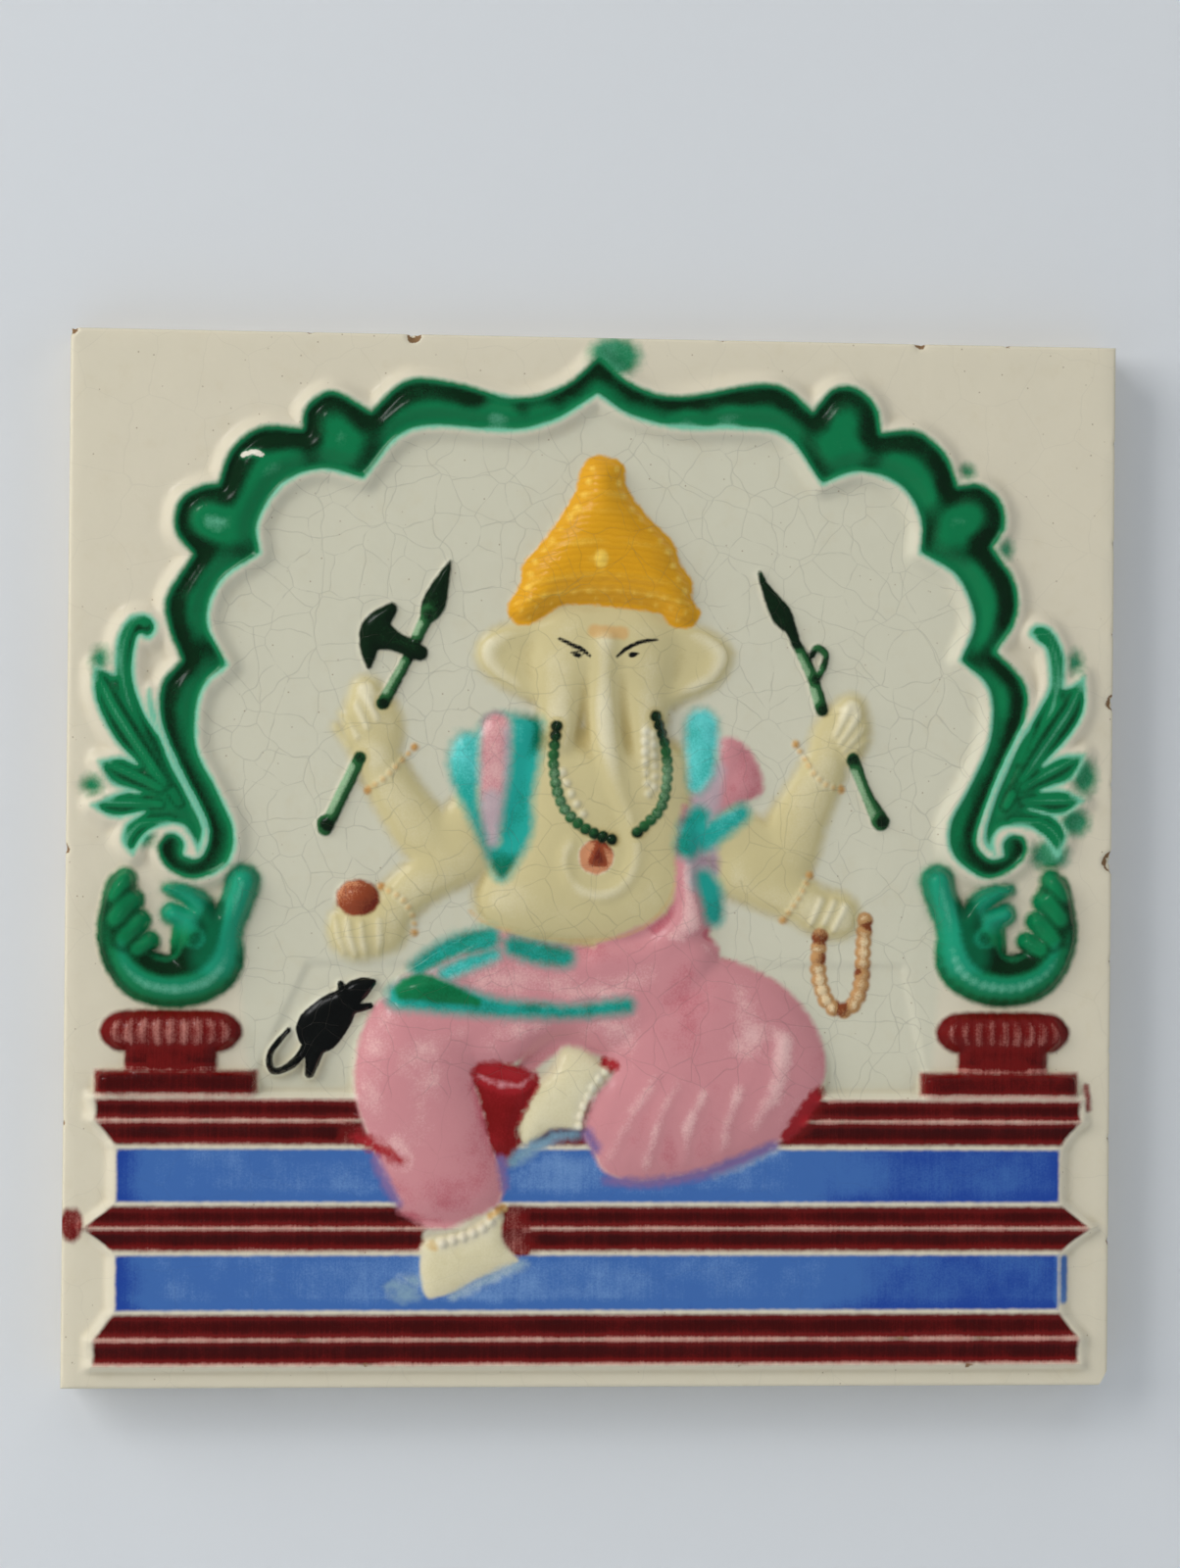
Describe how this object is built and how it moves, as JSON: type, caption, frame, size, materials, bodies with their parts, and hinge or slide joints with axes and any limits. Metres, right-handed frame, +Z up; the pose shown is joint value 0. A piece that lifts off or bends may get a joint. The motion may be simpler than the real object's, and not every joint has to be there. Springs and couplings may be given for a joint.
{
  "type": "embossed ceramic tile",
  "caption": "Square glazed ceramic tile with a moulded relief: a seated elephant-headed figure under a foiled arch, between two sea creatures, over a banded base.",
  "frame": {"origin": "centre of the flat back, on the plain land between its third and fourth grooves", "axes": "+X to the right as the relief is seen, +Y out of the back into the wall, so the relief faces -Y, +Z up"},
  "size_m": [0.1524, 0.0114, 0.1524],
  "materials": {
    "glazed_earthenware": "glossy crackled ivory glaze with green, maroon, blue, pink, teal and amber glazes on the relief; bare buff body on the back and sides"
  },
  "bodies": {
    "root": {"embossed_tile": "glazed_earthenware"}
  },
  "joints": []
}
